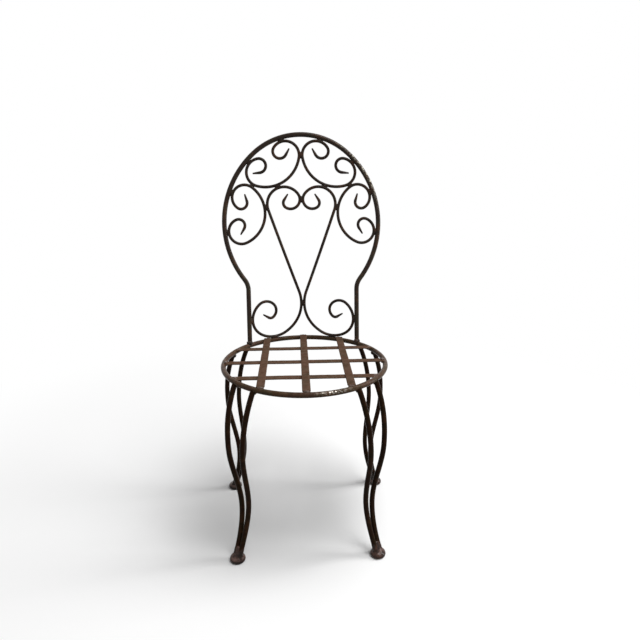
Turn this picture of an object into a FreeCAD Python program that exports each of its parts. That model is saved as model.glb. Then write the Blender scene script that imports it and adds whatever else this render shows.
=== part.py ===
# Wrought iron garden side chair, bent from round bar and flat strap and welded.
# Frame: origin on the floor midway between the seat's front and the back's rearmost point,
# +Z up, +Y to the back, +X to the right of someone who faces the chair. Millimetres.
import FreeCAD, Part
import math
import os
import Sketcher

Vector = FreeCAD.Vector
Rotation = FreeCAD.Rotation
Placement = FreeCAD.Placement
UP = Vector(0, 0, 1)
BACKWARD = Vector(-1, 0, 0)
UPRIGHT = Rotation()
CROSSWISE = Rotation(Vector(0, 1, 0), 90)
SIDES = {"left": -1, "right": 1}

# Driving sizes in millimetres and degrees, one alias each.
SIZES = {
    "frame_bar": 12.7,
    "scroll_bar": 8.0,
    "joint_gap": 0.3,
    "seat_height": 450.0,
    "ring_radius": 202.0,
    "strap_width": 19.0,
    "strap_thick": 3.0,
    "strap_pitch": 101.0,
    "strap_end_inset": 3.0,
    "cross_strap_shift": -11.0,
    "back_lean": 10.0,
    "post_half": 148.0,
    "hoop_half": 208.0,
    "hoop_wide_rise": 331.0,
    "hoop_side_radius": 249.0,
    "hoop_side_sweep": 48.0,
    "shoulder_radius": 48.0,
    "crown_tip_radius": 18.5,
    "crown_tip_sweep": 184.0,
    "crown_curl_radius": 36.5,
    "crown_curl_sweep": 156.0,
    "crown_body_radius": 92.0,
    "crown_body_sweep": 95.0,
    "side_tip_radius": 16.5,
    "side_tip_sweep": 144.0,
    "side_curl_radius": 33.5,
    "side_curl_sweep": 181.0,
    "side_body_radius": 86.0,
    "side_body_sweep": 118.0,
    "heart_tip_radius": 14.5,
    "heart_tip_sweep": 94.0,
    "heart_inner_radius": 25.0,
    "heart_inner_sweep": 156.0,
    "heart_blend_angle": 37.0,
    "loop_flatness": 0.42,
    "loop_entry_ratio": 1.87,
    "loop_wrap_sweep": 173.5,
    "loop_inner_radius": 27.0,
    "loop_inner_sweep": 178.0,
    "loop_tip_radius": 10.0,
    "loop_tip_sweep": 78.0,
    "drawn_tip_run": 17.0,
    "drawn_tip_bar": 4.4,
    "dish_rise": 343.0,
    "front_leg_angle": 44.0,
    "rear_leg_angle": 58.0,
    "leg_top_spread": 31.0,
    "leg_top_slope": 0.53,
    "bulge_drop": 150.0,
    "bulge_radius": 235.0,
    "bulge_spread": 24.5,
    "waist_rise": 141.0,
    "waist_radius": 214.0,
    "waist_spread": 12.5,
    "foot_circle_radius": 245.0,
    "foot_slope": 0.39,
    "foot_radius": 19.0,
    "foot_flat_radius": 14.0,
    "foot_rim_rise": 7.0,
    "foot_rise": 17.0,
    "foot_socket_rise": 12.0,
    "collar_long": 16.5,
    "collar_short": 9.6,
    "collar_rise": 33.0,
    "scroll_weld": 5.2,
    "strap_weld": 5.0,
    "post_weld": 9.5,
    "leg_weld": 9.0,
}

doc = FreeCAD.newDocument("garden_chair")
sheet = doc.addObject("Spreadsheet::Sheet", "Sizes")
for row, (alias, value) in enumerate(SIZES.items(), start=1):
    sheet.set(f"A{row}", alias)
    sheet.set(f"B{row}", str(value))
    sheet.setAlias(f"B{row}", alias)
doc.recompute()
nodes = []


def size(alias):
    """The value of one cell of the sheet."""
    return float(sheet.get(alias))


def bind(item, **expressions):
    """Tie properties of an object to cells; a double underscore stands for a dot."""
    for name, expression in expressions.items():
        item.setExpression(name.replace("__", "."), expression)


def keep(item, label):
    """Mark an object as one sub-part of the chair."""
    item.Label = label
    nodes.append(item)
    return item


# Heights and places that several pieces share.
RING_RISE = "Sizes.seat_height - Sizes.strap_thick - Sizes.frame_bar / 2"
ring_rise = size("seat_height") - size("strap_thick") - size("frame_bar") / 2
ring_radius = size("ring_radius")
lean = math.radians(size("back_lean"))
post_setback = math.sqrt(ring_radius**2 - size("post_half") ** 2)
POST_SETBACK = "sqrt(Sizes.ring_radius ^ 2 - Sizes.post_half ^ 2)"
HOOP_RISE = (
    "(Sizes.hoop_wide_rise + Sizes.hoop_side_radius + (Sizes.hoop_side_radius - Sizes.hoop_half)"
    " * (tan(Sizes.hoop_side_sweep) - 1 / cos(Sizes.hoop_side_sweep)))"
)
SEAT_Y = f"(Sizes.ring_radius - {POST_SETBACK} - {HOOP_RISE} * sin(Sizes.back_lean)) / 2"
side_sweep = math.radians(size("hoop_side_sweep"))
hoop_shift = size("hoop_side_radius") - size("hoop_half")
hoop_rise = size("hoop_wide_rise") + size("hoop_side_radius")
hoop_rise += hoop_shift * (math.tan(side_sweep) - 1 / math.cos(side_sweep))
seat_y = (ring_radius - post_setback - hoop_rise * math.sin(lean)) / 2
seat_centre = Vector(0, seat_y, 0)
scroll_step = size("scroll_bar") + size("joint_gap")
hoop_step = size("frame_bar") / 2 + size("scroll_bar") / 2 + size("joint_gap")
centre_step = scroll_step / 2


# Flat geometry of the back: x across, y up along the leaning back, from the ring's level.
def polar(centre, radius, angle):
    """Point on a circle."""
    return centre + Vector(radius * math.cos(angle), radius * math.sin(angle), 0)


def bearing(start, end):
    """Angle of the line from one point to another."""
    return math.atan2(end.y - start.y, end.x - start.x)


def crossing(centre_a, radius_a, centre_b, radius_b, side):
    """Where two circles cross; side picks the crossing to the left (+1) or right (-1)."""
    apart = (centre_b - centre_a).Length
    along = (radius_a**2 - radius_b**2 + apart**2) / (2 * apart)
    across = math.sqrt(radius_a**2 - along**2)
    forward = (centre_b - centre_a).normalize()
    return centre_a + forward * along + Vector(-forward.y, forward.x, 0) * (side * across)


def arc(centre, radius, start, end, alias=None):
    """One bend of a path, from one angle to another, with the cell that holds its radius."""
    return {"centre": centre, "radius": radius, "start": start, "end": end, "alias": alias}


def line(start, end):
    """One straight run of a path."""
    return {"from": start, "to": end}


def mirrored(path):
    """The same path on the other side of the centre plane, run in the same order."""
    flipped = []
    for piece in path:
        if "from" in piece:
            ends = [Vector(-p.x, p.y, 0) for p in (piece["from"], piece["to"])]
            flipped.append(line(*ends))
        else:
            centre = Vector(-piece["centre"].x, piece["centre"].y, 0)
            angles = (math.pi - piece["start"], math.pi - piece["end"])
            flipped.append(arc(centre, piece["radius"], *angles, piece["alias"]))
    return flipped


def backwards(path):
    """The same path, run from its far end."""
    turned = []
    for piece in reversed(path):
        if "from" in piece:
            turned.append(line(piece["to"], piece["from"]))
        else:
            ends = (piece["end"], piece["start"])
            turned.append(arc(piece["centre"], piece["radius"], *ends, piece["alias"]))
    return turned


# Sketches and pipes that more than one kind of bar uses.
def origin_plane(body, role):
    """One of the body's own origin planes."""
    return next(plane for plane in body.Origin.OriginFeatures if plane.Role == role)


def draw_path(body, path):
    """Sketch a path of lines and tangent arcs on the body's upright plane."""
    sketch = body.newObject("Sketcher::SketchObject", body.Name + "_path")
    sketch.AttachmentSupport = (origin_plane(body, "XZ_Plane"), [""])
    sketch.MapMode = "FlatFace"
    previous_end = None
    for index, piece in enumerate(path):
        if "from" in piece:
            sketch.addGeometry(Part.LineSegment(piece["from"], piece["to"]))
            first, last = 1, 2
        else:
            low, high = sorted((piece["start"], piece["end"]))
            circle = Part.Circle(piece["centre"], UP, piece["radius"])
            sketch.addGeometry(Part.ArcOfCircle(circle, low, high))
            first, last = (1, 2) if piece["start"] < piece["end"] else (2, 1)
        if previous_end:
            sketch.addConstraint(Sketcher.Constraint("Tangent", index - 1, previous_end, index, first))
        if piece.get("alias"):
            radius = Sketcher.Constraint("Radius", index, piece["radius"])
            bind_constraint(sketch, radius, "Sizes." + piece["alias"])
        previous_end = last
    return sketch


def bind_constraint(sketch, constraint, expression):
    """Add a dimension to a sketch and tie it to the sheet."""
    index = sketch.addConstraint(constraint)
    sketch.setExpression(f"Constraints[{index}]", expression)


def bent_bar(name, path, bar_alias):
    """A round bar bent along a flat path, standing in the leaning plane of the back."""
    body = doc.addObject("PartDesign::Body", name)
    spine = draw_path(body, path)
    doc.recompute()
    section = body.newObject("Sketcher::SketchObject", name + "_section")
    section.AttachmentSupport = (spine, ["Edge1"])
    section.MapMode = "NormalToEdge"
    section.addGeometry(Part.Circle(Vector(0, 0, 0), UP, size(bar_alias) / 2))
    section.addConstraint(Sketcher.Constraint("Coincident", 0, 3, -1, 1))
    diameter = Sketcher.Constraint("Diameter", 0, size(bar_alias))
    bind_constraint(section, diameter, "Sizes." + bar_alias)
    doc.recompute()
    pipe = body.newObject("PartDesign::AdditivePipe", name + "_pipe")
    pipe.Profile = section
    pipe.Spine = (spine, [f"Edge{number}" for number in range(1, len(path) + 1)])
    base = seat_centre + Vector(0, post_setback, ring_rise)
    body.Placement = Placement(base, Rotation(BACKWARD, size("back_lean")))
    bind(body, Placement__Base__y=f"{SEAT_Y} + {POST_SETBACK}", Placement__Base__z=RING_RISE)
    return body


def biarc(start, start_way, end, end_way):
    """Two tangent arcs that join two points with given directions."""
    chord = end - start
    both = start_way + end_way
    turn = 2 * (1 - start_way.dot(end_way))
    reach = chord.dot(both)
    if turn > 1e-9:
        handle = (math.sqrt(reach**2 + turn * chord.dot(chord)) - reach) / turn
    else:
        handle = chord.dot(chord) / (2 * reach)
    joint = (start + end + (start_way - end_way) * handle) * 0.5
    joint_way = (joint - start - start_way * handle).normalize()
    return [arc_edge(start, start_way, joint), arc_edge(joint, joint_way, end)]


def arc_edge(start, way, end):
    """The arc that leaves a point in a given direction and ends at another point."""
    chord = end - start
    across = way - chord * (way.dot(chord) / chord.dot(chord))
    if across.Length < 1e-5:
        return Part.makeLine(start, end)
    quarter_turn = math.atan2(across.Length, way.dot(chord) / chord.Length) / 2
    rise = chord.Length / 2 * math.tan(quarter_turn)
    middle = start + chord * 0.5 + across.normalize() * rise
    return Part.Arc(start, middle, end).toShape()


def smooth_bar(name, points, ways, bar_alias):
    """A round bar swept along tangent arcs through points in space."""
    edges = []
    for index in range(len(points) - 1):
        edges += biarc(points[index], ways[index], points[index + 1], ways[index + 1])
    spine = doc.addObject("Part::Feature", name + "_spine")
    spine.Shape = Part.Wire(edges)
    section = doc.addObject("Part::Circle", name + "_section")
    bind(section, Radius=f"Sizes.{bar_alias} / 2")
    section.Placement = Placement(points[0], Rotation(UP, ways[0]))
    sweep = doc.addObject("Part::Sweep", name)
    sweep.Sections = [section]
    sweep.Spine = (spine, [])
    sweep.Solid = True
    return sweep


# Seat ring: one round bar bent into a full circle and butt welded.
def seat_ring():
    body = doc.addObject("PartDesign::Body", "ring_body")
    section = body.newObject("Sketcher::SketchObject", "ring_section")
    section.AttachmentSupport = (origin_plane(body, "XZ_Plane"), [""])
    section.MapMode = "FlatFace"
    section.addGeometry(Part.Circle(Vector(ring_radius, 0, 0), UP, size("frame_bar") / 2))
    diameter = Sketcher.Constraint("Diameter", 0, size("frame_bar"))
    bind_constraint(section, diameter, "Sizes.frame_bar")
    reach = Sketcher.Constraint("DistanceX", -1, 1, 0, 3, ring_radius)
    bind_constraint(section, reach, "Sizes.ring_radius")
    section.addConstraint(Sketcher.Constraint("DistanceY", -1, 1, 0, 3, 0))
    turn = body.newObject("PartDesign::Revolution", "ring_turn")
    turn.Profile = section
    turn.ReferenceAxis = (section, ["V_Axis"])
    turn.Angle = 360
    bind(body, Placement__Base__y=SEAT_Y, Placement__Base__z=RING_RISE)
    return keep(body, "seat_ring")


def ring_clearance():
    """The ring with its fitting gap, which copes the ends of posts, legs and cross straps."""
    tool = doc.addObject("Part::Torus", "ring_clearance")
    bind(tool, Radius1="Sizes.ring_radius", Radius2="Sizes.frame_bar / 2 + Sizes.joint_gap")
    bind(tool, Placement__Base__y=SEAT_Y, Placement__Base__z=RING_RISE)
    return tool


# Seat straps: flat bars that run front to back on top of the ring and the cross straps.
def seat_strap(label, place):
    strap = doc.addObject("Part::Box", label + "_bar")
    half = f"(sqrt(Sizes.ring_radius ^ 2 - ({place} * Sizes.strap_pitch) ^ 2) - Sizes.strap_end_inset)"
    bind(strap, Length="Sizes.strap_width", Width=f"2 * {half}", Height="Sizes.strap_thick")
    bind(strap, Placement__Base__x=f"{place} * Sizes.strap_pitch - Sizes.strap_width / 2")
    bind(strap, Placement__Base__y=f"{SEAT_Y} - {half}")
    bind(strap, Placement__Base__z="Sizes.seat_height - Sizes.strap_thick")
    return keep(strap, label)


# Cross straps: flat bars under the seat straps, flush with the ring's crest, ends coped to it.
def cross_strap(label, place, tool):
    low = "Sizes.seat_height - 2 * Sizes.strap_thick"
    blank = doc.addObject("Part::Box", label + "_blank")
    middle = f"({place} * Sizes.strap_pitch + Sizes.cross_strap_shift)"
    bind(blank, Length="2 * Sizes.ring_radius", Width="Sizes.strap_width", Height="Sizes.strap_thick")
    bind(blank, Placement__Base__x="-Sizes.ring_radius", Placement__Base__z=low)
    bind(blank, Placement__Base__y=f"{SEAT_Y} + {middle} - Sizes.strap_width / 2")
    disc = doc.addObject("Part::Cylinder", label + "_disc")
    bind(disc, Radius="Sizes.ring_radius", Height="Sizes.strap_thick")
    bind(disc, Placement__Base__y=SEAT_Y, Placement__Base__z=low)
    inside = doc.addObject("Part::Common", label + "_inside")
    inside.Base = blank
    inside.Tool = disc
    return keep(coped(label + "_bar", inside, tool), label)


def coped(name, base, tool):
    """A piece with another one's shape cut from it."""
    cut = doc.addObject("Part::Cut", name)
    cut.Base = base
    cut.Tool = tool
    cut.Refine = False
    return cut


# Back hoop: posts, shoulders, sides and top of one bar, coped to stand on the ring.
def hoop_layout():
    """Centres and angles of the hoop's bends, all from the driving sizes."""
    side_radius = size("hoop_side_radius")
    shoulder_radius = size("shoulder_radius")
    sweep = math.radians(size("hoop_side_sweep"))
    side = Vector(size("hoop_half") - side_radius, size("hoop_wide_rise"), 0)
    side_end = polar(side, side_radius, sweep)
    top_radius = side_end.x / math.cos(sweep)
    top = Vector(0, side_end.y - top_radius * math.sin(sweep), 0)
    shoulder_x = size("post_half") + shoulder_radius
    drop = math.sqrt((side_radius + shoulder_radius) ** 2 - (shoulder_x - side.x) ** 2)
    shoulder = Vector(shoulder_x, side.y - drop, 0)
    return {"side": side, "top": top, "top_radius": top_radius, "shoulder": shoulder, "sweep": sweep}


def back_hoop(hoop, tool):
    side, top, shoulder, sweep = hoop["side"], hoop["top"], hoop["shoulder"], hoop["sweep"]
    post_half = size("post_half")
    low_angle = bearing(side, shoulder)
    half = [
        line(Vector(post_half, 0, 0), Vector(post_half, shoulder.y, 0)),
        arc(shoulder, size("shoulder_radius"), math.pi, math.pi + low_angle, "shoulder_radius"),
        arc(side, size("hoop_side_radius"), low_angle, sweep, "hoop_side_radius"),
    ]
    crown = [arc(top, hoop["top_radius"], sweep, math.pi - sweep)]
    bar = bent_bar("hoop_bar", half + crown + backwards(mirrored(half)), "frame_bar")
    return keep(coped("hoop_coped", bar, tool), "back_hoop")


# C-scrolls: a wide body bend, a curl at each end and a tighter tip inside each curl.
def flat_way(way):
    """A direction of the flat geometry in the chair's frame."""
    return Vector(way.x, way.y * math.sin(lean), way.y * math.cos(lean))


def flat_point(spot):
    """A point of the flat geometry in the chair's frame."""
    return seat_centre + Vector(0, post_setback, ring_rise) + flat_way(spot)


def c_scroll_layout(kind, first_curl, second_curl):
    """Bend centres of a C-scroll whose two curl centres are known."""
    curl_radius = size(kind + "_curl_radius")
    body_radius = size(kind + "_body_radius")
    half_sweep = math.radians(size(kind + "_body_sweep")) / 2
    forward = (second_curl - first_curl).normalize()
    offset = (body_radius - curl_radius) * math.cos(half_sweep)
    body = (first_curl + second_curl) * 0.5 + Vector(-forward.y, forward.x, 0) * offset
    return {"kind": kind, "curls": (first_curl, second_curl), "body": body}


def curl_span(kind):
    """Distance between the two curl centres of a C-scroll."""
    reach = size(kind + "_body_radius") - size(kind + "_curl_radius")
    return 2 * reach * math.sin(math.radians(size(kind + "_body_sweep")) / 2)


def c_scroll_path(scroll):
    kind = scroll["kind"]
    tip_radius = size(kind + "_tip_radius")
    curl_radius = size(kind + "_curl_radius")
    tip_sweep = math.radians(size(kind + "_tip_sweep"))
    curl_sweep = math.radians(size(kind + "_curl_sweep"))
    first, second = scroll["curls"]
    start = bearing(scroll["body"], first)
    end = start + math.radians(size(kind + "_body_sweep"))
    before, after = start - curl_sweep, end + curl_sweep
    first_tip = polar(first, curl_radius - tip_radius, before)
    second_tip = polar(second, curl_radius - tip_radius, after)
    return [
        arc(first_tip, tip_radius, before - tip_sweep, before, kind + "_tip_radius"),
        arc(first, curl_radius, before, start, kind + "_curl_radius"),
        arc(scroll["body"], size(kind + "_body_radius"), start, end, kind + "_body_radius"),
        arc(second, curl_radius, end, after, kind + "_curl_radius"),
        arc(second_tip, tip_radius, after, after + tip_sweep, kind + "_tip_radius"),
    ]


def crown_layout(hoop):
    """Each crown scroll touches its twin once and the hoop twice."""
    curl_radius = size("crown_curl_radius")
    x = curl_radius + centre_step
    reach = hoop["top_radius"] - hoop_step - curl_radius
    upper = Vector(x, hoop["top"].y + math.sqrt(reach**2 - x**2), 0)
    side_reach = size("hoop_side_radius") - hoop_step - curl_radius
    lower = crossing(hoop["side"], side_reach, upper, curl_span("crown"), -1)
    return c_scroll_layout("crown", upper, lower)


def side_layout(hoop, crown):
    """Each side scroll touches the crown scroll once and the hoop twice."""
    curl_radius = size("side_curl_radius")
    reach = size("hoop_side_radius") - hoop_step - curl_radius
    crown_reach = size("crown_curl_radius") + curl_radius + scroll_step
    upper = crossing(hoop["side"], reach, crown["curls"][1], crown_reach, -1)
    lower = crossing(hoop["side"], reach, upper, curl_span("side"), -1)
    return c_scroll_layout("side", upper, lower)


def drawn_tips(label, bar, ends):
    """The bar with its ends drawn down under the hammer: straight tapers with round noses."""
    shapes = [bar]
    for number, (spot, way) in enumerate(ends, start=1):
        taper = doc.addObject("Part::Cone", f"{label}_taper_{number}")
        bind(taper, Radius1="Sizes.scroll_bar / 2", Radius2="Sizes.drawn_tip_bar / 2")
        bind(taper, Height="Sizes.drawn_tip_run")
        taper.Placement = Placement(spot, Rotation(UP, way))
        nose = doc.addObject("Part::Sphere", f"{label}_nose_{number}")
        nose.Angle1 = 0
        bind(nose, Radius="Sizes.drawn_tip_bar / 2")
        nose.Placement = Placement(spot + way * size("drawn_tip_run"), Rotation(UP, way))
        shapes += [taper, nose]
    whole = doc.addObject("Part::MultiFuse", label + "_whole")
    whole.Shapes = shapes
    whole.Refine = False
    return keep(whole, label)


def outward_ends(stations):
    """First and last point of a bar, each with the direction that leads out of the bar."""
    return [(stations[0][0], stations[0][1] * -1), stations[-1]]


def c_scroll(scroll, side_name):
    path = c_scroll_path(scroll)
    if SIDES[side_name] < 0:
        path = mirrored(path)
    label = f"{scroll['kind']}_scroll_{side_name}"
    bar = bent_bar(label + "_bar", path, "scroll_bar")
    ends = [(flat_point(spot), flat_way(way)) for spot, way in outward_ends(path_stations(path))]
    return drawn_tips(label, bar, ends)


# Heart scrolls: a curl under the crown, a straight slanting run and a wide loop on the seat.
def dish_depth(x, rise):
    """How far the heart scrolls lie behind the flat of the back: the ring's curve, faded out."""
    fade = max(0.0, 1 - rise / size("dish_rise")) ** 2
    return fade * max(0.0, math.sqrt(max(ring_radius**2 - x**2, 0.0)) - post_setback)


def back_point(x, rise):
    """A point of the dished back in the chair's frame."""
    depth = post_setback + rise * math.sin(lean) + dish_depth(x, rise)
    return seat_centre + Vector(x, depth, ring_rise + rise * math.cos(lean))


def heart_layout(crown, side):
    """The curl touches the crown and side scrolls; the loop touches its twin, post and ring."""
    inner_radius = size("heart_inner_radius")
    blend = math.radians(size("heart_blend_angle"))
    crown_reach = size("crown_body_radius") + scroll_step
    side_reach = size("side_body_radius") + scroll_step

    def curl_centre(radius):
        x = centre_step + inner_radius + (radius - inner_radius) * math.cos(blend)
        below = math.sqrt((radius + crown_reach) ** 2 - (x - crown["body"].x) ** 2)
        return Vector(x, crown["body"].y - below, 0)

    def side_space(radius):
        return (curl_centre(radius) - side["body"]).Length - radius - side_reach

    small, large = inner_radius, size("hoop_half") / 2
    while large - small > 1e-9:
        radius = (small + large) / 2
        if side_space(radius) > 0:
            small = radius
        else:
            large = radius
    curl = curl_centre(radius)
    inner = polar(curl, radius - inner_radius, math.pi - blend)

    ring_touch = hoop_step / math.cos(lean)
    post_touch = size("post_half") - hoop_step
    for _ in range(20):
        wrap_radius = (post_touch - centre_step) * size("loop_flatness")
        behind = dish_depth(post_touch, ring_touch + wrap_radius)
        post_touch = size("post_half") - math.sqrt(hoop_step**2 - behind**2)
    wrap = Vector(post_touch - wrap_radius, ring_touch + wrap_radius, 0)
    entry_radius = wrap_radius * size("loop_entry_ratio")
    entry_x = centre_step + entry_radius
    above = math.sqrt((entry_radius - wrap_radius) ** 2 - (entry_x - wrap.x) ** 2)
    entry = Vector(entry_x, wrap.y + above, 0)
    return {
        "inner": inner,
        "curl": curl,
        "curl_radius": radius,
        "entry": entry,
        "entry_radius": entry_radius,
        "wrap": wrap,
        "wrap_radius": wrap_radius,
        "post_touch": post_touch,
    }


def nested_bends(kind, inner_centre, start):
    """The last two bends of a heart scroll: an inner bend and a tighter one at the tip."""
    inner_radius, tip_radius = size(kind + "_inner_radius"), size(kind + "_tip_radius")
    inner_end = start + math.radians(size(kind + "_inner_sweep"))
    tip_centre = polar(inner_centre, inner_radius - tip_radius, inner_end)
    tip_end = inner_end + math.radians(size(kind + "_tip_sweep"))
    return [
        arc(inner_centre, inner_radius, start, inner_end),
        arc(tip_centre, tip_radius, inner_end, tip_end),
    ]


def heart_path(heart):
    curl, entry, wrap = heart["curl"], heart["entry"], heart["wrap"]
    curl_radius, entry_radius, wrap_radius = heart["curl_radius"], heart["entry_radius"], heart["wrap_radius"]
    swing = math.asin((curl_radius + entry_radius) / (entry - curl).Length)
    heading = bearing(curl, entry) - swing
    inner_end = math.pi - math.radians(size("heart_blend_angle"))
    leave = heading + math.pi / 2
    arrive = heading - math.pi / 2
    settle = bearing(entry, wrap)
    wrap_end = settle + math.radians(size("loop_wrap_sweep"))
    curl_tip = nested_bends("heart", heart["inner"], inner_end)
    loop_inner = polar(wrap, wrap_radius - size("loop_inner_radius"), wrap_end)
    loop_tip = nested_bends("loop", loop_inner, wrap_end)
    return [
        *backwards(curl_tip),
        arc(curl, curl_radius, inner_end, leave),
        line(polar(curl, curl_radius, leave), polar(entry, entry_radius, arrive)),
        arc(entry, entry_radius, arrive - 2 * math.pi if arrive > settle else arrive, settle),
        arc(wrap, wrap_radius, settle, wrap_end),
        *loop_tip,
    ]


def path_stations(path):
    """Points and directions along a flat path, close enough for smooth arcs between them."""
    longest = 3 * size("scroll_bar")
    widest_turn = math.radians(32)
    stations = []
    for piece in path:
        if "from" in piece:
            run = piece["to"] - piece["from"]
            count = math.ceil(run.Length / longest)
            way = Vector(run).normalize()
            spots = [(piece["from"] + run * (n / count), way) for n in range(count + 1)]
        else:
            sweep = piece["end"] - piece["start"]
            length = abs(sweep) * piece["radius"]
            count = math.ceil(max(length / longest, abs(sweep) / widest_turn))
            spots = []
            for n in range(count + 1):
                angle = piece["start"] + sweep * n / count
                way = Vector(-math.sin(angle), math.cos(angle), 0) * math.copysign(1, sweep)
                spots.append((polar(piece["centre"], piece["radius"], angle), way))
        stations += spots if not stations else spots[1:]
    return stations


def heart_scroll(heart, side_name):
    path = heart_path(heart)
    if SIDES[side_name] < 0:
        path = mirrored(path)
    stations = []
    nudge = size("joint_gap") / 30
    for spot, way in path_stations(path):
        ahead, behind = spot + way * nudge, spot - way * nudge
        dished_way = back_point(ahead.x, ahead.y) - back_point(behind.x, behind.y)
        stations.append((back_point(spot.x, spot.y), dished_way.normalize()))
    label = f"heart_scroll_{side_name}"
    bar = smooth_bar(label + "_bar", *zip(*stations), "scroll_bar")
    return drawn_tips(label, bar, outward_ends(stations))


# Legs: two S-bent bars each, spread under the ring and drawn together into the foot.
def leg_profile():
    """Rise above the floor, distance from the seat's axis and half spacing at the bends."""
    top_spread = size("leg_top_spread")
    return [
        (ring_rise, math.sqrt(ring_radius**2 - top_spread**2), top_spread),
        (ring_rise - size("bulge_drop"), size("bulge_radius"), size("bulge_spread")),
        (size("waist_rise"), size("waist_radius"), size("waist_spread")),
        (size("foot_socket_rise"), size("foot_circle_radius"), foot_spread()),
    ]


def foot_spread():
    """Half the spacing of the two bars where they lie side by side in the foot."""
    return (size("frame_bar") + size("joint_gap")) / 2


def eased(start, end, start_slope, end_slope, span, part):
    """Cubic between two values with given slopes over a span."""
    square, cube = part**2, part**3
    value = start * (2 * cube - 3 * square + 1) + end * (3 * square - 2 * cube)
    return value + span * (start_slope * (cube - 2 * square + part) + end_slope * (cube - square))


def leg_curve(drop_share):
    """Rise, distance from the axis and half spacing at a share of the way down the leg."""
    keys = leg_profile()
    spans = [keys[n][0] - keys[n + 1][0] for n in range(3)]
    radial_slopes = [size("leg_top_slope"), 0, 0, size("foot_slope")]
    spread_slopes = [0]
    for n in (1, 2):
        change = keys[n + 1][2] - keys[n - 1][2]
        spread_slopes.append(change / (spans[n - 1] + spans[n]))
    spread_slopes.append(0)
    depth = drop_share * sum(spans)
    for n in range(3):
        if depth <= spans[n] or n == 2:
            break
        depth -= spans[n]
    part = depth / spans[n]
    radial = eased(keys[n][1], keys[n + 1][1], radial_slopes[n], radial_slopes[n + 1], spans[n], part)
    spread = eased(keys[n][2], keys[n + 1][2], spread_slopes[n], spread_slopes[n + 1], spans[n], part)
    return keys[n][0] - depth, radial, spread


def leg_way(end_name, side_name):
    """Outward direction of a leg in the ground plane."""
    angle = math.radians(size(end_name + "_leg_angle"))
    fore = -1 if end_name == "front" else 1
    return Vector(SIDES[side_name] * math.sin(angle), fore * math.cos(angle), 0)


def leg_bar(end_name, side_name, bar_name, tool):
    outward = leg_way(end_name, side_name)
    across = Vector(-outward.y, outward.x, 0)
    if across.x * SIDES[side_name] < 0:
        across = across * -1
    if bar_name == "inner":
        across = across * -1

    def place(share):
        rise, radial, spread = leg_curve(share)
        return seat_centre + outward * radial + across * spread + UP * rise

    steps = 16
    nudge = 1e-4
    shares = [step / steps for step in range(steps + 1)]
    points = [place(share) for share in shares]
    ways = [(place(share + nudge) - place(share - nudge)).normalize() for share in shares]
    label = f"{end_name}_{side_name}_leg_{bar_name}_bar"
    bar = smooth_bar(label + "_sweep", points, ways, "frame_bar")
    return keep(coped(label + "_coped", bar, tool), label)


# Feet: domed pads with an oval collar, each with a socket for the two bars of its leg.
def foot(end_name, side_name, bars):
    label = f"{end_name}_{side_name}_foot"
    outward = leg_way(end_name, side_name)
    centre = seat_centre + outward * size("foot_circle_radius")
    body = doc.addObject("PartDesign::Body", label + "_pad")
    outline = body.newObject("Sketcher::SketchObject", label + "_outline")
    outline.AttachmentSupport = (origin_plane(body, "XZ_Plane"), [""])
    outline.MapMode = "FlatFace"
    floor_edge = Vector(size("foot_flat_radius"), 0, 0)
    rim = Vector(size("foot_radius"), size("foot_rim_rise"), 0)
    crest = Vector(0, size("foot_rise"), 0)
    diagonal = math.sqrt(0.5)
    under_bulge = Vector((rim.x - floor_edge.x) * diagonal, rim.y * (1 - diagonal), 0)
    under = floor_edge + under_bulge
    shoulder = Vector(rim.x * diagonal, rim.y + (crest.y - rim.y) * diagonal, 0)
    outline.addGeometry(Part.LineSegment(Vector(0, 0, 0), floor_edge))
    outline.addGeometry(Part.Arc(floor_edge, under, rim))
    outline.addGeometry(Part.Arc(rim, shoulder, crest))
    outline.addGeometry(Part.LineSegment(crest, Vector(0, 0, 0)))
    turn = body.newObject("PartDesign::Revolution", label + "_turn")
    turn.Profile = outline
    turn.ReferenceAxis = (outline, ["V_Axis"])
    turn.Angle = 360
    body.Placement = Placement(centre, Rotation())
    collar = doc.addObject("Part::Ellipsoid", label + "_collar")
    collar.Angle1 = 0
    bind(collar, Radius1="Sizes.collar_rise - Sizes.foot_rim_rise")
    bind(collar, Radius2="Sizes.collar_short", Radius3="Sizes.collar_long")
    turned = math.degrees(math.atan2(outward.y, outward.x))
    collar.Placement = Placement(centre + UP * size("foot_rim_rise"), Rotation(UP, turned))
    whole = doc.addObject("Part::Fuse", label + "_whole")
    whole.Base = body
    whole.Tool = collar
    sockets = doc.addObject("Part::Compound", label + "_sockets")
    sockets.Links = bars
    return keep(coped(label + "_bored", whole, sockets), label)


# Weld beads: a ball of weld metal at each touch, less the pieces that it joins.
def bead(name, centre, alias, pieces, poles=UPRIGHT):
    ball = doc.addObject("Part::Sphere", name + "_ball")
    bind(ball, Radius="Sizes." + alias)
    ball.Placement = Placement(centre, poles)
    joined = doc.addObject("Part::Compound", name + "_joined")
    joined.Links = pieces
    return coped(name, ball, joined)


def bead_group(label, beads):
    group = doc.addObject("Part::Compound", label + "_group")
    group.Links = beads
    return keep(group, label)


def between(start, end, reach):
    """Point on the way from one bend centre towards another."""
    return start + (end - start).normalize() * reach


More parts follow.
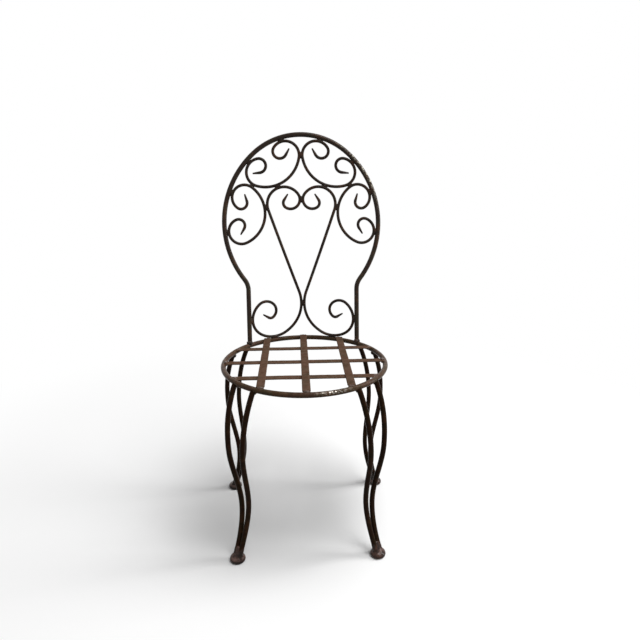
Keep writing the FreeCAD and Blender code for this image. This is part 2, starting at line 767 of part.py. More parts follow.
def scroll_touches(hoop, crown, side, heart):
    """Places where the scrolls of the right half touch, with the two pieces that meet."""
    bar = size("scroll_bar") / 2 + size("joint_gap") / 2
    top_reach = hoop["top_radius"] - hoop_step + bar
    side_reach = size("hoop_side_radius") - hoop_step + bar
    return [
        ("crown_hoop_upper", between(hoop["top"], crown["curls"][0], top_reach), "crown", "hoop"),
        ("crown_hoop_lower", between(hoop["side"], crown["curls"][1], side_reach), "crown", "hoop"),
        ("side_hoop_upper", between(hoop["side"], side["curls"][0], side_reach), "side", "hoop"),
        ("side_hoop_lower", between(hoop["side"], side["curls"][1], side_reach), "side", "hoop"),
        (
            "crown_side",
            between(crown["curls"][1], side["curls"][0], size("crown_curl_radius") + bar),
            "crown",
            "side",
        ),
        (
            "crown_heart",
            between(crown["body"], heart["curl"], size("crown_body_radius") + bar),
            "crown",
            "heart",
        ),
        (
            "side_heart",
            between(side["body"], heart["curl"], size("side_body_radius") + bar),
            "side",
            "heart",
        ),
        ("heart_post", Vector(heart["post_touch"] + bar, heart["wrap"].y, 0), "heart", "hoop"),
    ]


def scroll_welds(pieces, hoop, crown, side, heart):
    beads = []
    for name, spot, first, second in scroll_touches(hoop, crown, side, heart):
        for side_name, sign in SIDES.items():
            joined = [pieces.get(kind) or pieces[f"{kind}_{side_name}"] for kind in (first, second)]
            centre = back_point(sign * spot.x, spot.y)
            beads.append(bead(f"{name}_{side_name}", centre, "scroll_weld", joined))
    twins = {
        "crown_twin": ("crown", crown["curls"][0].y),
        "heart_twin_upper": ("heart", heart["inner"].y),
        "heart_twin_lower": ("heart", heart["entry"].y),
    }
    for name, (kind, rise) in twins.items():
        joined = [pieces[f"{kind}_left"], pieces[f"{kind}_right"]]
        beads.append(bead(name, back_point(0, rise), "scroll_weld", joined, CROSSWISE))
    return bead_group("scroll_welds", beads)


def post_welds(pieces, heart):
    """Beads where the posts and the heart loops stand on the ring."""
    beads = []
    for side_name, sign in SIDES.items():
        joined = [pieces["ring"], pieces["hoop"]]
        foot_point = back_point(sign * size("post_half"), 0) + UP * (size("frame_bar") / 2)
        beads.append(bead("post_" + side_name, foot_point, "post_weld", joined))
        joined = [pieces["ring"], pieces["heart_" + side_name]]
        loop_point = back_point(sign * heart["wrap"].x, 0) + UP * (size("frame_bar") / 2)
        beads.append(bead("loop_" + side_name, loop_point, "scroll_weld", joined))
    return bead_group("post_welds", beads)


def seat_welds(pieces):
    """Beads at the ends of the straps, none of them higher than the seat."""
    beads = []
    inset = size("strap_end_inset")
    for place, name in ((-1, "left"), (0, "middle"), (1, "right")):
        x = place * size("strap_pitch")
        y = math.sqrt(ring_radius**2 - x**2) - inset
        for end_name, fore in (("front", -1), ("rear", 1)):
            centre = seat_centre + Vector(x, fore * y, size("seat_height") - size("strap_weld"))
            joined = [pieces["ring"], pieces["strap_" + name]]
            if place and end_name == "rear":
                joined.append(pieces["heart_" + name])
            beads.append(bead(f"strap_{name}_{end_name}", centre, "strap_weld", joined))
    for place, name in ((-1, "front"), (0, "middle"), (1, "rear")):
        y = place * size("strap_pitch") + size("cross_strap_shift")
        x = math.sqrt(ring_radius**2 - y**2) - size("frame_bar") / 2
        for side_name, sign in SIDES.items():
            centre = seat_centre + Vector(sign * x, y, size("seat_height") - 2 * size("strap_thick"))
            joined = [pieces["ring"], pieces["cross_" + name]]
            beads.append(bead(f"cross_{name}_{side_name}", centre, "strap_weld", joined))
    return bead_group("seat_welds", beads)


def leg_welds(pieces, leg_bars):
    """Beads where each leg bar meets the ring from below."""
    beads = []
    for (end_name, side_name, bar_name), bar in leg_bars.items():
        outward = leg_way(end_name, side_name)
        across = Vector(-outward.y, outward.x, 0)
        if (across.x * SIDES[side_name] < 0) != (bar_name == "inner"):
            across = across * -1
        spread = size("leg_top_spread")
        radial = math.sqrt(ring_radius**2 - spread**2)
        below = UP * (ring_rise - size("frame_bar") / 2)
        centre = seat_centre + outward * radial + across * spread + below
        name = f"{end_name}_{side_name}_{bar_name}_top"
        beads.append(bead(name, centre, "leg_weld", [pieces["ring"], bar]))
    return bead_group("leg_welds", beads)


def build_chair():
    tool = ring_clearance()
    pieces = {"ring": seat_ring()}
    for place, name in ((-1, "left"), (0, "middle"), (1, "right")):
        pieces["strap_" + name] = seat_strap("seat_strap_" + name, place)
    for place, name in ((-1, "front"), (0, "middle"), (1, "rear")):
        pieces["cross_" + name] = cross_strap("cross_strap_" + name, place, tool)
    hoop = hoop_layout()
    crown = crown_layout(hoop)
    side = side_layout(hoop, crown)
    heart = heart_layout(crown, side)
    pieces["hoop"] = back_hoop(hoop, tool)
    for side_name in SIDES:
        pieces["crown_" + side_name] = c_scroll(crown, side_name)
        pieces["side_" + side_name] = c_scroll(side, side_name)
        pieces["heart_" + side_name] = heart_scroll(heart, side_name)
    leg_bars = {}
    for end_name in ("front", "rear"):
        for side_name in SIDES:
            for bar_name in ("inner", "outer"):
                bar = leg_bar(end_name, side_name, bar_name, tool)
                leg_bars[end_name, side_name, bar_name] = bar
            pair = [leg_bars[end_name, side_name, bar_name] for bar_name in ("inner", "outer")]
            foot(end_name, side_name, pair)
    doc.recompute()
    scroll_welds(pieces, hoop, crown, side, heart)
    post_welds(pieces, heart)
    seat_welds(pieces)
    leg_welds(pieces, leg_bars)
    doc.recompute()


def write_parts():
    """Check every object, then write one file for each sub-part."""
    for item in doc.Objects:
        if "Invalid" in item.State or "Error" in item.State:
            raise RuntimeError(f"{item.Label} failed to build")
    for item in nodes:
        if item.Shape.isNull() or not item.Shape.isValid():
            raise RuntimeError(f"{item.Label} has no valid shape")
    os.makedirs("parts", exist_ok=True)
    for item in nodes:
        solids = item.Shape.Solids
        shape = solids[0] if len(solids) == 1 else Part.makeCompound(solids)
        shape.exportStep(f"parts/{item.Label}.step")
        print(f"{item.Label}: {len(solids)} solid(s), {shape.Volume:.1f} mm3")


build_chair()
write_parts()
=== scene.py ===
import math
from functools import partial

import bmesh
import bpy
import numpy as np
from mathutils import Euler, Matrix, Quaternion, Vector, noise
from mathutils.kdtree import KDTree


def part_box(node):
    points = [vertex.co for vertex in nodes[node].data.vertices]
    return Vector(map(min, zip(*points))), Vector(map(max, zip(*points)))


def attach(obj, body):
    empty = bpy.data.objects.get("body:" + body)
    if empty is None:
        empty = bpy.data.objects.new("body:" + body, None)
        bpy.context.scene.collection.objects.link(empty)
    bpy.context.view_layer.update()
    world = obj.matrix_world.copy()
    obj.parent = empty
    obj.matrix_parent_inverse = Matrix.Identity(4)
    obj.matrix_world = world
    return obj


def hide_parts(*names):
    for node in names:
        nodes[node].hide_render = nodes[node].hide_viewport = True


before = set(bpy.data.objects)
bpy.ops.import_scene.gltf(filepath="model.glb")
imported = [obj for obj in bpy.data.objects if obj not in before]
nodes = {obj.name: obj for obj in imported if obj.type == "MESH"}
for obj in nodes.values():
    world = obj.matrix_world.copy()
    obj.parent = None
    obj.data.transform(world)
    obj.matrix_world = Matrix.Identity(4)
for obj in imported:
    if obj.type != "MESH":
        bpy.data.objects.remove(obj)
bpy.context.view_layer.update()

studio = bpy.context.scene

# Camera: the chair is seen from the front at standing height, a little from the left of its
# middle, so that the ring shows as a flat oval and the back leans away.
camera_place = Vector((-0.0195, -1.2588, 0.9107))
camera_pitch = math.radians(16.169)
camera_yaw = math.radians(-2.708)
camera_roll = math.radians(-0.238)
camera_lens = 29.5
camera_film = 36

camera_data = bpy.data.cameras.new("camera")
camera_data.lens = camera_lens
camera_data.sensor_width = camera_film
camera = bpy.data.objects.new("camera", camera_data)
level = Euler((math.radians(90) - camera_pitch, 0, camera_yaw)).to_quaternion()
camera.rotation_mode = "QUATERNION"
camera.rotation_quaternion = level @ Quaternion((0, 0, 1), camera_roll)
camera.location = camera_place
studio.collection.objects.link(camera)
studio.camera = camera
studio.view_settings.view_transform = "Standard"

# Studio: a white room with a broad soft lamp high on the front right, and a tall narrow panel
# lamp at the right that draws a thin line of light down the outer side of each bar.
# The room shows white behind the chair and in its gloss, but lights the chair only a little.
room_glow = 0.25
key_power = 1.9
key_spread = math.radians(30)
key_from = Vector((0.5, -0.5, 1.5))
panel_power = 45.0
panel_size = (0.7, 2.6)
panel_place = Vector((2.1, 0.1, 1.7))
panel_aim = Vector((0.2, 0.15, 0.8))


def arithmetic(tree, operation, *sides):
    """One arithmetic step in a node tree, on plain numbers or on what its nodes put out."""
    step = tree.nodes.new("ShaderNodeMath")
    step.operation = operation
    for index, side in enumerate(sides):
        if isinstance(side, (int, float)):
            step.inputs[index].default_value = side
        else:
            tree.links.new(side, step.inputs[index])
    return step.outputs[0]


world = bpy.data.worlds.new("room")
world.use_nodes = True
room = world.node_tree
room.nodes.clear()
rays = room.nodes.new("ShaderNodeLightPath").outputs
mirrored = arithmetic(room, "MAXIMUM", rays["Is Camera Ray"], rays["Is Glossy Ray"])
seen = arithmetic(room, "MAXIMUM", mirrored, rays["Is Transmission Ray"])
room_strength = room.nodes.new("ShaderNodeMapRange")
room_strength.inputs["To Min"].default_value = room_glow
room_strength.inputs["To Max"].default_value = 1.0
room.links.new(seen, room_strength.inputs["Value"])
room_light = room.nodes.new("ShaderNodeBackground")
room_light.inputs["Color"].default_value = (1, 1, 1, 1)
room.links.new(room_strength.outputs["Result"], room_light.inputs["Strength"])
room_end = room.nodes.new("ShaderNodeOutputWorld")
room.links.new(room_light.outputs[0], room_end.inputs[0])
studio.world = world


def lamp(name, kind, power, place, toward):
    """A lamp that shines from its place along a direction."""
    light = bpy.data.lights.new(name, kind)
    light.energy = power
    stand = bpy.data.objects.new(name, light)
    stand.location = place
    stand.rotation_mode = "QUATERNION"
    stand.rotation_quaternion = (-toward).to_track_quat("Z", "Y")
    stand.visible_camera = False
    studio.collection.objects.link(stand)
    return stand


key_lamp = lamp("key_lamp", "SUN", key_power, key_from, -key_from)
key_lamp.data.angle = key_spread
panel_lamp = lamp("panel_lamp", "AREA", panel_power, panel_place, panel_aim - panel_place)
panel_lamp.data.shape = "RECTANGLE"
panel_lamp.data.size, panel_lamp.data.size_y = panel_size

# Floor: a seamless pale sweep. It keeps the chair's shadow, has soft painted shadow pools
# under and behind the chair, and runs into the white of the room well away from it. It is
# white to look at, but throws back only as much light as a grey studio floor.
floor_half = 12.0
floor_tone = 0.97
floor_bounce = 0.35
floor_painted_shadows = (
    # each painted shadow pool: strength, middle x and y, half lengths, turn in degrees
    (0.390, -0.178, -0.091, 0.235, 0.164, -20.1),
    (0.158, -0.203, 0.197, 0.346, 0.253, 6.6),
    (0.287, 0.073, 0.019, 0.205, 0.131, 81.5),
)
floor_fade = (0.65, 1.6)
floor_roughness = 0.9

floor_mesh = bpy.data.meshes.new("floor")
corners = [(x * floor_half, y * floor_half, 0) for x, y in ((-1, -1), (1, -1), (1, 1), (-1, 1))]
floor_mesh.from_pydata(corners, [], [(0, 1, 2, 3)])
floor = bpy.data.objects.new("floor", floor_mesh)
studio.collection.objects.link(floor)
floor_material = bpy.data.materials.new("pale_floor")
floor_material.use_nodes = True
floor_tree = floor_material.node_tree
floor_math = partial(arithmetic, floor_tree)


def floor_reach(place, turn, lengths):
    """Distance from a place on the floor, counted in its own half lengths."""
    spot = floor_tree.nodes.new("ShaderNodeMapping")
    spot.vector_type = "TEXTURE"
    spot.inputs["Location"].default_value = (place[0], place[1], 0)
    spot.inputs["Rotation"].default_value = (0, 0, math.radians(turn))
    spot.inputs["Scale"].default_value = (lengths[0], lengths[1], 1)
    floor_tree.links.new(floor_place.outputs["Object"], spot.inputs["Vector"])
    size = floor_tree.nodes.new("ShaderNodeVectorMath")
    size.operation = "LENGTH"
    floor_tree.links.new(spot.outputs["Vector"], size.inputs[0])
    return size.outputs["Value"]


floor_place = floor_tree.nodes.new("ShaderNodeTexCoord")
tone = floor_tone
# each pool darkens the floor's colour as a soft painted shadow
for strength, x, y, length, breadth, turn in floor_painted_shadows:
    reach = floor_reach((x, y), turn, (length, breadth))
    reach_squared = floor_math("MULTIPLY", reach, reach)
    fall = floor_math("EXPONENT", floor_math("MULTIPLY", reach_squared, -1.0))
    tone = floor_math("SUBTRACT", tone, floor_math("MULTIPLY", fall, strength))
floor_rays = floor_tree.nodes.new("ShaderNodeLightPath").outputs
looked_at = floor_math("SUBTRACT", 1.0, floor_rays["Is Diffuse Ray"])
tone = floor_math("MULTIPLY", tone, floor_math("MAXIMUM", looked_at, floor_bounce))
floor_shader = floor_tree.nodes["Principled BSDF"]
floor_tree.links.new(tone, floor_shader.inputs["Base Color"])
floor_shader.inputs["Roughness"].default_value = floor_roughness
floor_shader.inputs["Specular IOR Level"].default_value = 0.0
away = floor_tree.nodes.new("ShaderNodeMapRange")
away.interpolation_type = "SMOOTHSTEP"
away.inputs["From Min"].default_value = floor_fade[0]
away.inputs["From Max"].default_value = floor_fade[1]
floor_tree.links.new(floor_reach((0, 0), 0, (1, 1)), away.inputs["Value"])
whiten = floor_math("MULTIPLY", away.outputs["Result"], floor_rays["Is Camera Ray"])
floor_white = floor_tree.nodes.new("ShaderNodeEmission")
floor_white.inputs["Color"].default_value = (1, 1, 1, 1)
floor_mix = floor_tree.nodes.new("ShaderNodeMixShader")
floor_tree.links.new(whiten, floor_mix.inputs[0])
floor_tree.links.new(floor_shader.outputs[0], floor_mix.inputs[1])
floor_tree.links.new(floor_white.outputs[0], floor_mix.inputs[2])
floor_tree.links.new(floor_mix.outputs[0], floor_tree.nodes["Material Output"].inputs["Surface"])
floor_mesh.materials.append(floor_material)


# Seat ring: round mild steel bar, rolled into a full circle and butt welded, then brushed
# with dark brown oil paint that has weathered to uneven brown and olive patches. At the front
# right it is rubbed through to bright metal.
def weathered_paint_group():
    """Paint colour, gloss, bare metal and surface height that wander over a painted bar."""
    group = bpy.data.node_groups.new("weathered_paint", "ShaderNodeTree")
    face = group.interface
    for name, kind, value in (
        ("Paint", "NodeSocketColor", (0.05, 0.036, 0.03, 1)),
        ("Patch", "NodeSocketColor", (0.06, 0.05, 0.03, 1)),
        ("Rust", "NodeSocketColor", (0.11, 0.04, 0.02, 1)),
        ("Worn", "NodeSocketColor", (0.16, 0.11, 0.09, 1)),
        ("Bare", "NodeSocketColor", (0.55, 0.53, 0.50, 1)),
        ("Rust amount", "NodeSocketFloat", 0.3),
        ("Worn amount", "NodeSocketFloat", 0.3),
        ("Edge wear", "NodeSocketFloat", 0.4),
        ("Patch size", "NodeSocketFloat", 26.0),
        ("Gloss roughness", "NodeSocketFloat", 0.42),
        ("Rubbed place", "NodeSocketVector", (0, 0, 0)),
        ("Rubbed reach", "NodeSocketFloat", 0.05),
        ("Rubbed amount", "NodeSocketFloat", 0.0),
    ):
        socket = face.new_socket(name=name, in_out="INPUT", socket_type=kind)
        socket.default_value = value
    face.new_socket(name="Color", in_out="OUTPUT", socket_type="NodeSocketColor")
    for name in ("Roughness", "Metallic", "Height"):
        face.new_socket(name=name, in_out="OUTPUT", socket_type="NodeSocketFloat")
    new, link = group.nodes.new, group.links.new
    count = partial(arithmetic, group)
    entry, leave = new("NodeGroupInput"), new("NodeGroupOutput")
    place = new("ShaderNodeTexCoord")

    def cloud(scale, detail, roughness=0.55):
        """Soft random lumps, so many to the metre."""
        texture = new("ShaderNodeTexNoise")
        texture.inputs["Detail"].default_value = detail
        texture.inputs["Roughness"].default_value = roughness
        link(place.outputs["Object"], texture.inputs["Vector"])
        if isinstance(scale, (int, float)):
            texture.inputs["Scale"].default_value = scale
        else:
            link(scale, texture.inputs["Scale"])
        return texture.outputs["Fac"]

    def fade(value, low, high, bottom=0.0, top=1.0):
        """A soft step from bottom to top, while a value goes from low to high."""
        spread = new("ShaderNodeMapRange")
        spread.interpolation_type = "SMOOTHSTEP"
        limits = {"From Min": low, "From Max": high, "To Min": bottom, "To Max": top}
        for name, number in limits.items():
            spread.inputs[name].default_value = number
        link(value, spread.inputs["Value"])
        return spread.outputs["Result"]

    def blend(amount, first, second, way="MIX"):
        """An amount of a second colour over a first."""
        mix = new("ShaderNodeMix")
        mix.data_type = "RGBA"
        mix.blend_type = way
        link(amount, mix.inputs["Factor"])
        for side, socket in ((first, mix.inputs["A"]), (second, mix.inputs["B"])):
            if isinstance(side, tuple):
                socket.default_value = side
            else:
                link(side, socket)
        return mix.outputs["Result"]

    # each cloud's lumps to the metre, its fineness and its roughness
    patches = cloud(entry.outputs["Patch size"], 3, 0.5)
    streaks = cloud(74, 5, 0.6)
    mottle = cloud(230, 5, 0.65)
    rust_spots = cloud(60, 8, 0.7)
    small_flecks = cloud(170, 4, 0.6)
    swells, dimples, grain = cloud(34, 1), cloud(115, 2, 0.5), cloud(430, 2, 0.5)
    hollow_shade = (0.42, 0.40, 0.38, 1)
    streak_light = (1.5, 1.42, 1.36, 1)
    surface = new("ShaderNodeNewGeometry")
    split = new("ShaderNodeSeparateXYZ")
    link(surface.outputs["Normal"], split.inputs[0])
    upward = fade(split.outputs["Z"], 0.25, 0.95)
    edge = new("ShaderNodeAttribute")
    edge.attribute_name = "edge_wear"

    # old and newer coats, with darker hollows
    color = blend(fade(patches, 0.44, 0.58), entry.outputs["Paint"], entry.outputs["Patch"])
    color = blend(fade(mottle, 0.32, 0.66, 0.4, 0.0), color, hollow_shade, "MULTIPLY")
    color = blend(fade(streaks, 0.50, 0.72, 0.0, 0.5), color, streak_light, "MULTIPLY")
    # rust that comes through
    rust_cloud = count("MULTIPLY", rust_spots, count("ADD", 0.62, patches))
    rust = count("MULTIPLY", fade(rust_cloud, 0.56, 0.68), entry.outputs["Rust amount"])
    color = blend(rust, color, entry.outputs["Rust"])
    # upper sides and edges are worn lighter; on the feet this paler colour is partly a painted
    # highlight on the dome
    worn = count("MULTIPLY", upward, fade(streaks, 0.36, 0.62))
    worn = count("MULTIPLY", worn, entry.outputs["Worn amount"])
    edged = count("MULTIPLY", edge.outputs["Fac"], fade(mottle, 0.36, 0.58))
    edged = count("MULTIPLY", edged, entry.outputs["Edge wear"])
    worn = count("MAXIMUM", worn, edged)
    color = blend(worn, color, entry.outputs["Worn"])
    # one place is rubbed through to bright metal; on the hoop this rubbed band is a painted
    # highlight
    gap = new("ShaderNodeVectorMath")
    gap.operation = "DISTANCE"
    link(place.outputs["Object"], gap.inputs[0])
    link(entry.outputs["Rubbed place"], gap.inputs[1])
    near = new("ShaderNodeMapRange")
    near.interpolation_type = "SMOOTHSTEP"
    link(gap.outputs["Value"], near.inputs["Value"])
    link(entry.outputs["Rubbed reach"], near.inputs["From Min"])
    near.inputs["From Max"].default_value = 0.0
    flecks = count("ADD", count("MULTIPLY", mottle, 0.6), count("MULTIPLY", small_flecks, 0.5))
    rubbed = count("MULTIPLY", near.outputs["Result"], fade(flecks, 0.55, 0.60))
    rubbed = count("MULTIPLY", rubbed, entry.outputs["Rubbed amount"])
    rubbed = count("MULTIPLY", rubbed, fade(split.outputs["Z"], -0.1, 0.4))
    color = blend(rubbed, color, entry.outputs["Bare"])
    link(color, leave.inputs["Color"])

    # rust is dull and rubbed metal bright, and both change the height of the surface
    rough = count("ADD", entry.outputs["Gloss roughness"], fade(mottle, 0.3, 0.7, -0.08, 0.10))
    rough = count("ADD", rough, count("MULTIPLY", rust, 0.25))
    rough = count("SUBTRACT", rough, count("MULTIPLY", rubbed, 0.18))
    link(rough, leave.inputs["Roughness"])
    link(count("MULTIPLY", rubbed, 0.9), leave.inputs["Metallic"])
    height = count("ADD", count("MULTIPLY", swells, 1.6), count("MULTIPLY", dimples, 0.45))
    peel = count("ADD", count("MULTIPLY", grain, 0.09), count("MULTIPLY", rust, 0.3))
    peel = count("SUBTRACT", peel, count("MULTIPLY", rubbed, 0.2))
    link(count("ADD", height, peel), leave.inputs["Height"])
    return group


weathered_paint = weathered_paint_group()
relief_strength = 0.6


def painted(name, specular, relief=0.0004, **values):
    """A material of weathered paint, with its own tones."""
    material = bpy.data.materials.new(name)
    material.use_nodes = True
    tree = material.node_tree
    shader = tree.nodes["Principled BSDF"]
    paint = tree.nodes.new("ShaderNodeGroup")
    paint.node_tree = weathered_paint
    for given, value in values.items():
        paint.inputs[given.replace("_", " ").capitalize()].default_value = value
    bump = tree.nodes.new("ShaderNodeBump")
    bump.inputs["Strength"].default_value = relief_strength
    bump.inputs["Distance"].default_value = relief
    for made in ("Roughness", "Metallic"):
        tree.links.new(paint.outputs[made], shader.inputs[made])
    tree.links.new(paint.outputs["Color"], shader.inputs["Base Color"])
    tree.links.new(paint.outputs["Height"], bump.inputs["Height"])
    tree.links.new(bump.outputs["Normal"], shader.inputs["Normal"])
    shader.inputs["Specular IOR Level"].default_value = specular
    return material


def paint_bar(name, material):
    """Give a bar its paint."""
    bar = nodes[name]
    bar.data.materials.clear()
    bar.data.materials.append(material)


ring_low, ring_high = (Vector(corner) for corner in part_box("seat_ring"))
ring_middle = (ring_low + ring_high) / 2
bar_radius = (ring_high.z - ring_low.z) / 2
ring_radius = (ring_high.x - ring_low.x) / 2 - bar_radius
rubbed_aside = 0.062
rubbed_front = -math.sqrt(ring_radius ** 2 - rubbed_aside ** 2)
rubbed_place = ring_middle + Vector((rubbed_aside, rubbed_front - bar_radius / 2, bar_radius))

ring_paint = painted(
    "ring_paint",
    specular=0.06,
    paint=(0.060, 0.032, 0.019, 1),
    patch=(0.052, 0.036, 0.018, 1),
    worn=(0.14, 0.090, 0.063, 1),
    bare=(0.33, 0.31, 0.28, 1),
    worn_amount=0.4,
    gloss_roughness=0.22,
    rubbed_place=rubbed_place,
    rubbed_reach=0.06,
    rubbed_amount=0.85,
)
paint_bar("seat_ring", ring_paint)


# Seat straps and cross straps: flat bar with rolled edges. Three straps run front to back on
# top of the ring, and three run side to side under them, with their ends let into the ring.
# The brown paint on them is paler and more pinkish than on the bars.
strap_roll = 0.0011
strap_roll_steps = 5
strap_flat_steps = 8
strap_stations = 170
strap_end_insets = (0.0, 0.00025, 0.0006, 0.0012)
strap_wave, strap_waves_to_metre = 0.0005, 16
strap_dent, strap_dents_to_metre = 0.00018, (95, 90)
strap_sway, strap_sways_to_metre = 0.0005, 14
roll_wear, roll_side_wear, near_roll_wear = 1.0, 0.6, 0.25
strap_end_wear = 0.6
strap_corner = 0.0022
cross_end_gap = 0.00197
cross_end_radius = ring_radius - cross_end_gap

strap_paint = painted(
    "strap_paint",
    specular=0.0,
    paint=(0.104, 0.058, 0.038, 1),
    patch=(0.088, 0.059, 0.038, 1),
    worn=(0.170, 0.110, 0.082, 1),
    worn_amount=0.3,
    edge_wear=0.5,
    gloss_roughness=0.42,
)


def stand_in(name, mesh, material, replaced):
    """A finished piece, which shows instead of a solid of the frame."""
    mesh.polygons.foreach_set("use_smooth", [True] * len(mesh.polygons))
    mesh.materials.append(material)
    mesh.update()
    piece = bpy.data.objects.new(name, mesh)
    studio.collection.objects.link(piece)
    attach(piece, "root")
    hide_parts(replaced)


def worn_mesh(name, points, faces, edge):
    """A mesh whose points each have a share of edge wear."""
    mesh = bpy.data.meshes.new(name)
    mesh.from_pydata([tuple(point) for point in points], [], faces)
    mesh.attributes.new("edge_wear", "FLOAT", "POINT").data.foreach_set("value", edge)
    return mesh


def skin(rows, around):
    """Faces over rows of points that lie round a piece, with both its ends closed."""
    faces = []
    for row in range(rows - 1):
        for column in range(around):
            a, b = row * around + column, row * around + (column + 1) % around
            faces.append((a, b, b + around, a + around))
    last = (rows - 1) * around
    faces.append(tuple(range(around))[::-1])
    faces.append(tuple(range(last, last + around)))
    return faces


def wander(size, place):
    """A smooth random departure of up to about a size, which changes from place to place."""
    return noise.noise(Vector(place)) * size


def strap_outline(half_width, half_thickness):
    """Points round a strap's section, each with its share of edge wear."""
    flat = half_width - strap_roll
    upright = half_thickness - strap_roll
    outline = []
    for middle_u, middle_w, first in (
        (flat, upright, 0), (-flat, upright, 90), (-flat, -upright, 180), (flat, -upright, 270)
    ):
        for step in range(strap_roll_steps + 1):
            angle = math.radians(first + 90 * step / strap_roll_steps)
            u = middle_u + strap_roll * math.cos(angle)
            w = middle_w + strap_roll * math.sin(angle)
            wear = roll_wear if 0 < step < strap_roll_steps else roll_side_wear
            outline.append((u, w, wear))
        if first in (0, 180):
            side = 1 if first == 0 else -1
            for step in range(1, strap_flat_steps):
                u = side * flat * (1 - 2 * step / strap_flat_steps)
                wear = near_roll_wear if step in (1, strap_flat_steps - 1) else 0.0
                outline.append((u, side * half_thickness, wear))
    return outline


def strap(name, along, ends_at, seed):
    """A flat bar that fills its solid's place, a little wavy and with rounded ends."""
    low, high = (Vector(corner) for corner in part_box(name))
    across = 1 - along
    middle = (low + high) / 2
    half_width = (high[across] - low[across]) / 2
    half_thickness = (high.z - low.z) / 2
    outline = strap_outline(half_width, half_thickness)
    stations = [(inset, 0) for inset in strap_end_insets]
    stations += [(0, step / strap_stations) for step in range(1, strap_stations)]
    stations += [(-inset, 1) for inset in reversed(strap_end_insets)]
    points, edge = [], []
    for inset, share in stations:
        at_end = share in (0, 1)
        drawn = 0.0
        if at_end:
            short = 1 - min(1, abs(inset) / strap_roll)
            drawn = strap_roll * (1 - math.sqrt(1 - short * short))
        for u, w, wear in outline:
            u_here = middle[across] + u * (1 - drawn / half_width)
            first, last = ends_at(u_here, u)
            here = first + (last - first) * share + inset
            swell = math.sin(math.pi * share)
            # each strap bends in its own way, by its seed
            wave = wander(strap_wave, (here * strap_waves_to_metre, seed * 3.1, 0.5))
            dent_place = here * strap_dents_to_metre[0], u * strap_dents_to_metre[1], seed * 7.7
            dent = wander(strap_dent, dent_place)
            sway = wander(strap_sway, (here * strap_sways_to_metre, 4.5, seed * 5.3))
            point = Vector((0, 0, 0))
            point[along] = here
            point[across] = u_here + sway * swell
            point.z = middle.z + w * (1 - drawn / half_thickness) + (wave + dent) * swell
            points.append(point)
            edge.append(min(1.0, wear + (strap_end_wear if at_end else 0)))
    faces = skin(len(stations), len(outline))
    if along == 1:
        faces = [face[::-1] for face in faces]
    mesh = worn_mesh(f"{name}_bar", points, faces, edge)
    stand_in(f"{name}_bar", mesh, strap_paint, name)


def square_ends(name):
    """Straight cut ends with the corners filed off."""
    low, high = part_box(name)
    # the stock width to a hundredth of a millimetre, so that the ends come out the same each run
    full_to = round((high.x - low.x) / 2, 5) - strap_corner

    def ends(_place, aside):
        over = max(0.0, abs(aside) - full_to)
        back = strap_corner - math.sqrt(max(0.0, strap_corner ** 2 - over ** 2))
        return low.y + back, high.y - back

    return ends


def round_ends(place, _aside):
    """Ends cut to the curve of the ring that they are let into."""
    reach = math.sqrt(cross_end_radius ** 2 - (place - ring_middle.y) ** 2)
    return -reach, reach


for number, side in enumerate(("left", "middle", "right")):
    strap(f"seat_strap_{side}", 1, square_ends(f"seat_strap_{side}"), 1 + number)
for number, side in enumerate(("front", "middle", "rear")):
    strap(f"cross_strap_{side}", 0, round_ends, 5 + number)

# Back hoop: one length of the same round bar as the ring, bent hot into two short posts,
# shoulders and an egg-shaped bow, its posts welded to the ring. Along the outer side of the
# bow, at the upper right, a grey band of paint rubbed through to metal is a painted highlight.
hoop_high = Vector(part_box("back_hoop")[1])
# the middle of the painted highlight band, near the hoop's upper right
hoop_painted_highlight_place = hoop_high + Vector((-0.018, -0.02, -0.088))
hoop_paint = painted(
    "hoop_paint",
    relief=0.0002,
    specular=0.12,
    paint=(0.029, 0.017, 0.011, 1),
    patch=(0.033, 0.025, 0.014, 1),
    worn=(0.085, 0.067, 0.053, 1),
    bare=(0.40, 0.385, 0.32, 1),
    worn_amount=0.3,
    gloss_roughness=0.17,
    rubbed_place=hoop_painted_highlight_place,
    rubbed_reach=0.15,
    rubbed_amount=0.8,
)
paint_bar("back_hoop", hoop_paint)

# Scrolls: thinner round bar, its ends drawn out hot to blunt points and bent round a jig.
# Two crown scrolls and two side scrolls fill the bow, and two long ones make the heart.
scroll_paint = painted(
    "scroll_paint",
    relief=0.0002,
    specular=0.09,
    paint=(0.028, 0.017, 0.012, 1),
    patch=(0.030, 0.023, 0.014, 1),
    worn=(0.09, 0.073, 0.062, 1),
    worn_amount=0.3,
    gloss_roughness=0.19,
)
for kind in ("crown", "side", "heart"):
    for side in ("left", "right"):
        paint_bar(f"{kind}_scroll_{side}", scroll_paint)

# Legs: each leg is a pair of round bars bent to a shallow S and laid side by side. They part
# at the ring, where they are welded under it, and come together above the foot.
leg_paint = painted(
    "leg_paint",
    relief=0.0003,
    specular=0.03,
    paint=(0.0190, 0.0080, 0.0036, 1),
    patch=(0.0170, 0.0096, 0.0038, 1),
    rust=(0.07, 0.026, 0.012, 1),
    worn=(0.05, 0.034, 0.025, 1),
    worn_amount=0.4,
    gloss_roughness=0.19,
)
for end in ("front", "rear"):
    for side in ("left", "right"):
        for bar in ("inner", "outer"):
            paint_bar(f"{end}_{side}_leg_{bar}_bar", leg_paint)
